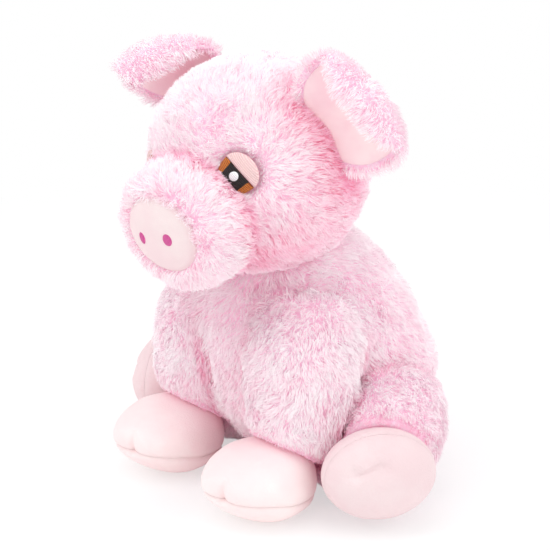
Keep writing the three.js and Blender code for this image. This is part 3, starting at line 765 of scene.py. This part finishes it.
def eye_axes(side):
    t, r = side * EYE_TURN, EYE_RISE
    facing = np.array([math.sin(t) * math.cos(r), -math.cos(t) * math.cos(r), math.sin(r)])
    right = np.array([math.cos(t), math.sin(t), 0])
    up = np.cross(facing, right)
    a = -side * LID_SLOPE
    return right * math.cos(a) + up * math.sin(a), up * math.cos(a) - right * math.sin(a), facing


def by_eye(local, side):
    """Where points lie beside an eye: across it, up from the lid's edge, and away from it."""
    x_axis, y_axis, facing = eye_axes(side)
    x, y = local @ x_axis, local @ y_axis
    return x, y, np.hypot(x, y) + 1000 * (local @ facing < 0)


def on_head(side, xy, depth):
    """Points over the eye's plane, this far under the head's form."""
    x_axis, y_axis, facing = eye_axes(side)
    half = EYE_FORM - np.asarray(depth)[..., None]
    flat = xy[:, :1] * x_axis + xy[:, 1:] * y_axis
    p, d = flat / half, facing / half
    a, b, c = (d * d).sum(-1), (p * d).sum(-1), (p * p).sum(-1) - 1
    z = (-b + np.sqrt(np.maximum(b * b - a * c, 0))) / a
    return flat + z[:, None] * facing


# The rings of a patch of stitches, from its buried rim in: how far in each lies, and its share of the depth
STITCH_RINGS = ((0, 1.3), (0, 0.75), (0.04, 0.35), (0.12, 0.1),
                (0.25, 0), (0.45, -0.1), (0.7, -0.15), (0.9, -0.15))
STITCH_DEPTH = 1.3
OUTLINE_STEPS = 40


def ring_faces(rings, steps):
    """A closed form round rings of points, with one point past the last ring and one before the first."""
    faces, past, before = [], rings * steps, rings * steps + 1
    for r in range(rings - 1):
        for k in range(steps):
            n = (k + 1) % steps
            faces.append((r * steps + k, r * steps + n, (r + 1) * steps + n, (r + 1) * steps + k))
    last = (rings - 1) * steps
    for k in range(steps):
        n = (k + 1) % steps
        faces.append((last + k, last + n, past))
        faces.append((n, k, before))
    return faces


def patch(name, node, outline, place, mat, slot):
    """A padded patch of stitches over an outline. place(xy, depth) puts it on its surface."""
    centre = outline.mean(0)
    co = [place(centre + (outline - centre) * (1 - k), np.full(len(outline), d * STITCH_DEPTH))
          for k, d in STITCH_RINGS]
    for r in (-1, 0):
        co.append(place(centre[None], np.array([STITCH_RINGS[r][1] * STITCH_DEPTH])))
    ob = add(name, from_head(np.concatenate(co)), ring_faces(len(STITCH_RINGS), len(outline)), mat)
    face_out(ob)
    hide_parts(node)
    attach(ob, "head")


def half_disc(radius, tall, start, split):
    """A half oval and its straight side. start is 0 for the upper half and pi for the lower."""
    a = np.linspace(start, start + math.pi, OUTLINE_STEPS)
    arc = np.stack([radius * np.cos(a), tall * np.sin(a)], 1)
    line = np.linspace(arc[-1], arc[0], OUTLINE_STEPS // 2)[1:-1]
    whole = np.concatenate([arc, line])
    whole[:, 1] = np.maximum(whole[:, 1] + split, -EYE_SHOWN)
    return whole


def oval(x, y, cx, cy):
    a = np.linspace(0, 2 * math.pi, OUTLINE_STEPS, endpoint=False)
    return np.stack([cx + x * np.cos(a), cy + y * np.sin(a)], 1)


# Snout
SNOUT = np.array([-0.8, -80.5, -7])
SNOUT_HALF, SNOUT_THICK, DOME = (26.0, 22.8), 4.0, 4.0
RIM_FROM, RIM_WIDTH, RIM_DROP = 0.86, 0.14, 1.6
DENTS, DENT_DEPTH, DENT_WIDTH = (-9, 9), 1.1, 4.5


def snout_front(xy):
    """How far the disc's front stands before its rim plane, drawn in round each nostril."""
    r = np.sqrt((xy[:, 0] / SNOUT_HALF[0]) ** 2 + (xy[:, 1] / SNOUT_HALF[1]) ** 2)
    rim = np.clip((r - RIM_FROM) / RIM_WIDTH, 0, 1)
    crown = DOME * (1 - np.minimum(r, 1) ** 2.4) - RIM_DROP * rim**2
    for x in DENTS:
        crown = crown - DENT_DEPTH * np.exp(-((xy[:, 0] - x) ** 2 + xy[:, 1] ** 2) / 2 / DENT_WIDTH**2)
    return crown


def on_snout(xy, depth):
    """Points this far under a surface 0.5 mm before the disc's front."""
    return np.column_stack([xy[:, 0], -snout_front(xy) + depth - 0.5, xy[:, 1]]) + SNOUT


def snout_disc(mat):
    steps, rings = 96, 26
    shares = np.linspace(1, 0, rings) ** 0.8
    a = np.linspace(0, 2 * math.pi, steps, endpoint=False)
    ring = np.stack([np.cos(a) * SNOUT_HALF[0], np.sin(a) * SNOUT_HALF[1]], 1)
    layers = [np.column_stack([ring[:, 0] * 0.97, np.full(steps, SNOUT_THICK), ring[:, 1] * 0.97])]
    for s in shares[:-1]:
        xy = ring * s
        layers.append(np.column_stack([xy[:, 0], -snout_front(xy), xy[:, 1]]))
    middle = np.array([[0, -snout_front(np.zeros((1, 2)))[0], 0], [0, SNOUT_THICK, 0]])
    co = np.concatenate(layers + [middle]) + SNOUT
    ob = add("snout_disc_velour", from_head(co), ring_faces(rings, steps), mat)
    face_out(ob)
    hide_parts("snout_disc")
    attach(ob, "head")


# Trotters
SOLE_HEIGHT = 17  # from the ground, or from the hind sole, to the seam
FRONT_FOOT, HIND_FOOT = (43, -83), (116, -51, 33.0)
TOE_TURN = math.radians(10)
TOE_AHEAD = np.array([math.sin(TOE_TURN), -math.cos(TOE_TURN), 0])
TOE_LEVEL = np.array([math.cos(TOE_TURN), math.sin(TOE_TURN), 0])
TOE_LIFT, HEEL_DROP = 9, 6
SOLE_START = 0.1  # past the seam, so that the two pieces don't share it


def hollow(ob, depth):
    """Moves the surface in by a depth in millimetres that a function gives from the places and normals."""
    co, normal = points(ob.data), normals_of(ob.data)
    set_points(ob.data, co - normal * depth(co / MM, normal)[:, None] * MM)


def part_at(ob, name, at, way):
    """The part of the piece on one side of a plane."""
    mesh = ob.data.copy()
    bm = bmesh.new()
    bm.from_mesh(mesh)
    geom = bm.verts[:] + bm.edges[:] + bm.faces[:]
    bmesh.ops.bisect_plane(bm, geom=geom, plane_co=Vector(at), plane_no=Vector(way), clear_outer=True)
    bm.to_mesh(mesh)
    bm.free()
    mesh.name = name
    made = bpy.data.objects.new(name, mesh)
    scene.collection.objects.link(made)
    return made


def front_trotter(ob, side):
    """A seam round the sole and a cleft that rises from it over the toe."""
    middle = np.array([side * FRONT_FOOT[0], FRONT_FOOT[1], SOLE_HEIGHT])

    def depth(p, n):
        away = p - middle
        x, y, z = away @ TOE_LEVEL, away @ TOE_AHEAD, away[:, 2]
        toe = np.clip((y - 12) / 10, 0, 1)
        over = np.clip(1 - z / 18, 0, 1) ** 0.8 * np.clip((z + 5) / 4, 0, 1)
        pinch = np.clip(1 - np.abs(z - 1) / 8, 0, 1) ** 2
        bent = x - 0.12 * np.maximum(z, 0)
        seam = 1.3 * hump(z + 0.8 * hump(x, 9) * toe, 1.2) + 0.5 * hump(z, 4)
        cleft = toe * over * (2.6 * hump(bent, 1.5) + 2.2 * hump(bent, 6))
        return seam + cleft + toe * pinch * 1.6 * hump(x, 3.5)

    hollow(ob, depth)
    return middle, np.array([0, 0, -1.0])


def toe_up(ob, side):
    """The toe's underside rises towards its tip, and the seam drops towards the heel."""
    co = points(ob.data) / MM
    y = (co - np.array([side * FRONT_FOOT[0], FRONT_FOOT[1], 0])) @ TOE_AHEAD
    co[:, 2] += TOE_LIFT * np.clip((y - 4) / 32, 0, 1) ** 1.3 * np.clip(1 - co[:, 2] / 38, 0, 1)
    co[:, 2] -= HEEL_DROP * np.clip((14 - y) / 40, 0, 1) * hump(co[:, 2] - SOLE_HEIGHT, 11)
    set_points(ob.data, co * MM)


def hind_trotter(ob, side):
    """A soft seam behind the sole, and the sole pulled in by a short crease and two dimples."""
    outward = np.array([side * 66, -38, 0]) / math.hypot(66, 38)
    level = side * np.cross([0, 0, 1], outward)
    foot = np.array([side * HIND_FOOT[0], *HIND_FOOT[1:]])

    def depth(p, n):
        away = p - foot
        x, z, back = away @ level, away[:, 2], away @ outward + SOLE_HEIGHT
        seen = np.clip((n @ outward - 0.2) / 0.3, 0, 1)
        dimples = 3.0 * hump(np.hypot(x + 3, z - 11), 6) + 2.2 * hump(np.hypot(x + 17, z - 8), 4)
        rise = 7 * np.clip((x + 18) / 14, 0, 1)
        crease = 1.3 * hump(z - 6 - rise, 1.4) * hump(x + 11, 7)
        return 0.25 * hump(back, 1.2) + seen * (dimples + crease)

    hollow(ob, depth)
    return foot - outward * SOLE_HEIGHT, outward


def trotter(limb, ob, mat):
    side = side_of(limb)
    seam_at, to_sole = (front_trotter if "front" in limb else hind_trotter)(ob, side)
    upper = part_at(ob, f"{limb}_trotter_upper_velour", seam_at * MM, to_sole)
    sole = part_at(ob, f"{limb}_trotter_sole_velour", (seam_at + to_sole * SOLE_START) * MM, -to_sole)
    for piece, nodes in ((upper, ["upper", "filling"]), (sole, ["sole"])):
        piece.data.materials.clear()
        piece.data.materials.append(mat)
        piece.data.shade_smooth()
        if "front" in limb:
            toe_up(piece, side)
        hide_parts(*[f"{limb}_trotter_{n}" for n in nodes])
        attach(piece, f"{limb}_leg")
    bpy.data.objects.remove(ob)


# Build
set_camera()
set_world()
set_floor()
set_lamps()

fur, undercoat, satin = fur_material(), undercoat_material(), satin_material()
velour = velour_material("velour", rgb(253, 241, 239), rgb(250, 231, 231))
disc_velour = velour_material("disc_velour", rgb(241, 227, 226), rgb(238, 214, 217))
# The hind soles' velour is the same cloth in a darker copy, as painted shade
hind_painted_shade_velour = velour_material("hind_painted_shade_velour", rgb(238, 221, 222), rgb(235, 211, 214))
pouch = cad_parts["bean_pouch"].data
pouch.materials.clear()
pouch.materials.append(canvas_material())

bags = {
    "torso": bag("torso_skin", ["torso_cover", "torso_filling", "bean_pouch"]),
    "head": bag("head_skin", ["head_cover", "head_filling"]),
    "muzzle": bag("muzzle_skin", ["muzzle_cover", "muzzle_filling"], 3.5, 4),
    "tail": bag("tail_skin", ["tail"], 1.5, 3),
}
for limb in LIMBS:
    bags[limb] = bag(f"{limb}_leg_skin", [f"{limb}_leg_cover", f"{limb}_leg_filling"])
    bags[f"{limb}_trotter"] = bag(
        f"{limb}_trotter_bag", [f"{limb}_trotter_{part}" for part in ("upper", "sole", "filling")], 3.0, 6)
puff([ob for key, ob in bags.items() if key != "tail"])
for key, ob in bags.items():
    finer(ob, 2 if "trotter" in key else 1)

# The haunches bulge where the hind legs meet the torso
HAUNCH, HAUNCH_WAY, HAUNCH_WIDTH = (66, 27, 72), (0.64, 0.77, 0), 30
for limb in ("left_hind", "right_hind"):
    mirror = np.array([side_of(limb), 1, 1])
    for key, high in (("torso", 11), (limb, 5)):
        co = points(bags[key].data) / MM
        near = hump(np.linalg.norm(co - HAUNCH * mirror, axis=1), HAUNCH_WIDTH)
        set_points(bags[key].data, (co + high * near[:, None] * HAUNCH_WAY * mirror) * MM)

trees = {key: tree_of(ob) for key, ob in bags.items()}
# The body, the replaced nodes, and how deep the skin lies under the fur's outline
WEARS = {"torso": ("torso", ["torso_cover", "torso_filling"], 2.5),
         "head": ("head", ["head_cover", "head_filling"], 2.5),
         "muzzle": ("head", ["muzzle_cover", "muzzle_filling"], 2.0), "tail": ("tail", ["tail"], 1.6)}
WEARS.update({limb: (f"{limb}_leg", [f"{limb}_leg_cover", f"{limb}_leg_filling"], 2.5) for limb in LIMBS})


def others(key):
    return [tree for k, tree in trees.items() if k != key]


def clearance(p, key, reach):
    """How far points are from the nearest other bag, in millimetres, up to reach."""
    free = np.full(len(p), float(reach))
    for tree in others(key):
        far = [tree.find_nearest(Vector(a), reach * MM)[3] for a in p]
        free = np.minimum(free, [reach if f is None else f / MM for f in far])
    return free


def open_to(key, margin=0.4):
    """Where this skin isn't inside another: the places that fur grows on."""
    near = others(key)

    def allow(p, n):
        share = np.ones(len(p))
        for i, (a, b) in enumerate(zip(p, n)):
            q = Vector(a + b * WEARS[key][2] * MM)
            for tree in near:
                hit = tree.find_nearest(q, 0.03)
                if hit[0] is not None and (q - hit[0]).dot(hit[1]) < margin * MM:
                    share[i] = 0
                    break
        return share
    return allow


SHOULDERED = ("torso", "left_front", "right_front")
SHOULDER_FILL, SHOULDER_WIDTH = 4.5, 9
EYE_PRESS = 2.0


def set_skin(key, ob, depth):
    """Sinks a bag less where it meets another, and fills up the shoulders."""
    co = points(ob.data)
    free, z = clearance(co, key, 20), co[:, 2] / MM
    share = np.clip((free - 1.5) / 5, 0, 1)
    if "front" in key:
        share = share + 1.6 * np.clip((z - 92) / 30, 0, 1)
    fill = 0
    if key in SHOULDERED:
        fill = SHOULDER_FILL * hump(free, SHOULDER_WIDTH)
        fill = fill * np.clip((z - 80) / 20, 0, 1) * np.clip((150 - z) / 15, 0, 1)
    sink(ob, depth * share - fill)


def press_eyes(ob):
    """The head is drawn in under the eyes."""
    co = points(ob.data)
    local = to_head(co)
    for side in SIDES.values():
        _, y, off = by_eye(local, side)
        press = EYE_PRESS * (1 - np.clip((off - 12) / 6, 0, 1)) ** 2 * np.clip((y + 11) / 4, 0, 1)
        co -= (eye_axes(side)[2] @ HEAD_TURN.T) * press[:, None] * MM
    set_points(ob.data, co)


for key, (body, nodes, depth) in WEARS.items():
    ob = bags[key]
    set_skin(key, ob, depth)
    if key == "head":
        press_eyes(ob)
    ob.data.materials.clear()
    ob.data.materials.append(undercoat)
    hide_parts(*nodes)
    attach(ob, body)

for limb in LIMBS:
    trotter(limb, bags[f"{limb}_trotter"], velour if "front" in limb else hind_painted_shade_velour)

# Ears
ear_pieces = {}
for key in EARS:
    back = ear_layer(f"{key}_ear_skin", key, (0.2, 5.5), 1.0, 0.0, undercoat)
    lining = ear_layer(f"{key}_ear_satin", key, (2.4, 0.2), 5.5, 0.4, satin)
    for ob, node, slot in ((back, "ear_back", "fur"), (lining, "ear_lining", "satin")):
        outside(ob, trees["head"], 3.0)
        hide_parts(f"{key}_{node}")
        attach(ob, f"{key}_ear")
    ear_pieces[key] = (back, lining)

# Snout and eyes
snout_disc(disc_velour)
pink = thread_material("nostril_thread", rgb(232, 98, 170), rgb(205, 62, 140), (1, 0, 0), 0.3)
for name, side in SIDES.items():
    outline = oval(2.7 + 0.6 * side, 3.7, side * 10.6 - 2.6, -1.0)
    patch(f"{name}_nostril_stitches", f"{name}_nostril", outline, on_snout, pink, "nostril_thread")
lid = thread_material("lid_thread", rgb(249, 218, 216), rgb(237, 196, 197))
iris = thread_material("iris_thread", rgb(214, 128, 52), rgb(150, 72, 26))
pupil = thread_material("pupil_thread", rgb(40, 30, 30), rgb(14, 10, 10))
white = thread_material("white_thread", rgb(255, 255, 255), rgb(238, 238, 242))
EYE_PARTS = (  # node, outline, how far it stands above the iris, thread, slot
    ("eyelid", half_disc(11.5, 9.2, 0, 1.8), 0.5, lid, "lid_thread"),
    ("iris", half_disc(11.3, 14.0, math.pi, 1.4), 0.0, iris, "iris_thread"),
    ("pupil", half_disc(7.6, 18.0, math.pi, 1.4), 0.35, pupil, "pupil_thread"),
    ("eye_highlight", oval(2.9, 2.9, -0.5, -2.4), 0.75, white, "white_thread"),
)


def on_eye(side, lift):
    return lambda xy, depth: on_head(side, xy, depth + EYE_DEPTH - lift)


for name, side in SIDES.items():
    for part, outline, lift, mat, slot in EYE_PARTS:
        patch(f"{name}_{part}_stitches", f"{name}_{part}", outline, on_eye(side, lift), mat, slot)


# How the fur lies on each piece, how long it is, and the painted shade on it
def one_way(x, y, z):
    way = np.array([x, y, z], float)
    return lambda p: np.broadcast_to(way, p.shape)


def head_nap(p):
    """Back from the snout and down; away from an eye above, and over it from below."""
    local = to_head(p)
    way = 0.9 * unit(local - np.array([0, -78, -4]))
    for side in SIDES.values():
        x_axis, y_axis, _ = eye_axes(side)
        x, y, off = by_eye(local, side)
        near = np.clip((23 - off) / 9, 0, 1)[:, None]
        off = off[:, None]
        out = (x[:, None] * x_axis + y[:, None] * y_axis) / off
        below = np.clip((-3 - y) / 4, 0, 1)[:, None]
        way = way * (1 - near) + near * (out * (1 - below) + 1.3 * y_axis * below)
    return way @ HEAD_TURN.T + np.array([0, 0.1, -0.45])


def muzzle_nap(p):
    local = to_head(p)
    out = unit(np.column_stack([local[:, 0], np.zeros(len(p)), local[:, 2] + 7]))
    return (np.array([0, 1.0, 0]) + 0.35 * out) @ HEAD_TURN.T + np.array([0, 0, -0.3])


def round_eyes(p):
    """Clipped short above and beside the eyes, longer below them."""
    local, share = to_head(p), np.ones(len(p))
    for side in SIDES.values():
        _, y, off = by_eye(local, side)
        below = np.clip((-3 - y) / 4, 0, 1)
        short = 0.35 + 0.65 * np.clip((off - 12.5) / 9, 0, 1)
        over = 1 - 0.35 * np.clip((19 - off) / 3, 0, 1)
        share = share * np.where(off < 40, short * (1 - below) + over * below, 1)
    return share


SHOULDER_HEIGHT = 116
# Painted shade: how much deeper the pink is made between bags, under the muzzle, at the ears' roots and low
# on the head
HOLLOW_PAINTED_SHADE, CHIN_PAINTED_SHADE, ROOT_PAINTED_SHADE, LOW_PAINTED_SHADE = 0.6, 0.25, 0.8, 0.13


def painted_hollow_shade(key):
    """Painted shade: a deeper pink in the hollows between two bags, except at the shoulders."""
    def tone(p):
        shoulder = hump(p[:, 2] / MM - SHOULDER_HEIGHT, 26) if key in SHOULDERED else 0
        return -HOLLOW_PAINTED_SHADE * hump(clearance(p, key, 15), 5) * (1 - 0.9 * shoulder)
    return tone


def painted_shade_on_head(p):
    """Painted shade: a deeper pink where the ears are sewn on, under the muzzle and low on the head."""
    local = to_head(p)
    deep = CHIN_PAINTED_SHADE * hump(local[:, 2] + 34, 14) * hump(local[:, 1] + 45, 30)
    for ear in EARS.values():
        base = ear_base(ear)
        along = np.clip((local - base["middle"]) @ base["up"], -ear["half"], ear["half"])
        off = np.linalg.norm(local - base["middle"] - along[:, None] * base["up"], axis=1)
        deep = np.maximum(deep, ROOT_PAINTED_SHADE * hump(off, 16))
    low = np.clip((15 - local[:, 2]) / 30, 0, 1) * (1 + 0.5 * field(p, 7, 61))
    return -deep - LOW_PAINTED_SHADE * low


def bare_eyes(p, n):
    """No fur on the eyes, and more of it below them."""
    local, share = to_head(p), np.ones(len(p))
    for side in SIDES.values():
        _, y, off = by_eye(local, side)
        share = share * ((off > EYE_BARE) | (y < -8)) * (1 + 1.2 * ((off < 18) & (y < -6)))
    return share


def short_at(tree):
    """Shorter close to another piece."""
    def share(p):
        far = [(tree.find_nearest(Vector(a), 0.02)[3] or 0.02) / MM for a in p]
        return np.clip(np.array(far) / 13, 0.3, 1)
    return share


def both(first, second):
    return lambda p, n: first(p, n) * second(p, n)


# Painted shade on the head: the deeper of the roots' and the hollows' shade
def head_painted_shade(p):
    return np.minimum(painted_shade_on_head(p), painted_hollow_shade("head")(p))


def off_disc(p, n):
    """No fur where the disc is."""
    local = to_head(p)
    r = np.hypot(local[:, 0] / 25.5, (local[:, 2] + 7) / 21.5)
    return 1.0 * ~((r < 1) & (local[:, 1] < -70))


density = 1.3
strands("head_fur", "head", bags["head"], head_nap, 11, density * 1.2,
        allow=both(open_to("head"), bare_eyes), trim=round_eyes, tone=head_painted_shade)
strands("muzzle_fur", "head", bags["muzzle"], muzzle_nap, 12, density * 1.4, length=4.0, lift=4.2,
        allow=both(open_to("muzzle"), off_disc), tone=painted_hollow_shade("muzzle"))
strands("torso_fur", "torso", bags["torso"], one_way(0, 0.1, -1), 13, density,
        allow=open_to("torso"), tone=painted_hollow_shade("torso"))
for i, limb in enumerate(LIMBS):
    side, foot = side_of(limb), trees[f"{limb}_trotter"]
    nap = one_way(0.1 * side, -0.1, -1) if "front" in limb else one_way(0.5 * side, -0.35, -0.7)
    strands(f"{limb}_leg_fur", f"{limb}_leg", bags[limb], nap, 20 + i, density * 1.4,
            allow=open_to(limb, 2.0), trim=short_at(foot), tone=painted_hollow_shade(limb), clear=[foot])
for i, (key, (back, lining)) in enumerate(ear_pieces.items()):
    base, tree, flat = ear_base(EARS[key]), trees["head"], tree_of(lining)

    def off_lining(p, n):
        """Everywhere but under the lining and inside the head."""
        share = np.ones(len(p))
        for k, a in enumerate(map(Vector, p)):
            hit = flat.find_nearest(a, 0.003)
            root = tree.find_nearest(a, 0.02)
            inside = root[0] is not None and (a - root[0]).dot(root[1]) < 0.001
            if inside or (hit[0] is not None and hit[3] < 0.0011):
                share[k] = 0
        return share

    def to_rim(p):
        """Out from the root, and down the bent tip."""
        local = to_head(p) - base["middle"]
        over = np.clip((local @ base["ahead"] - 8) / 4, 0, 1)[:, None]
        ahead = base["ahead"]
        out = unit(local - (local @ ahead)[:, None] * ahead + 6 * base["out"])
        way = out * (1 - over) + over * (-0.9 * base["out"] - 0.2 * base["up"]) + 0.35 * ahead
        return way @ HEAD_TURN.T + np.array([0, 0, -0.25])

    strands(f"{key}_ear_fur", f"{key}_ear", back, to_rim, 30 + i, density * 1.2, length=4.4, lift=4.2,
            allow=off_lining)
strands("tail_fur", "tail", bags["tail"], one_way(0, 0.8, -0.6), 40, density * 1.3, length=3.0, lift=2.4)
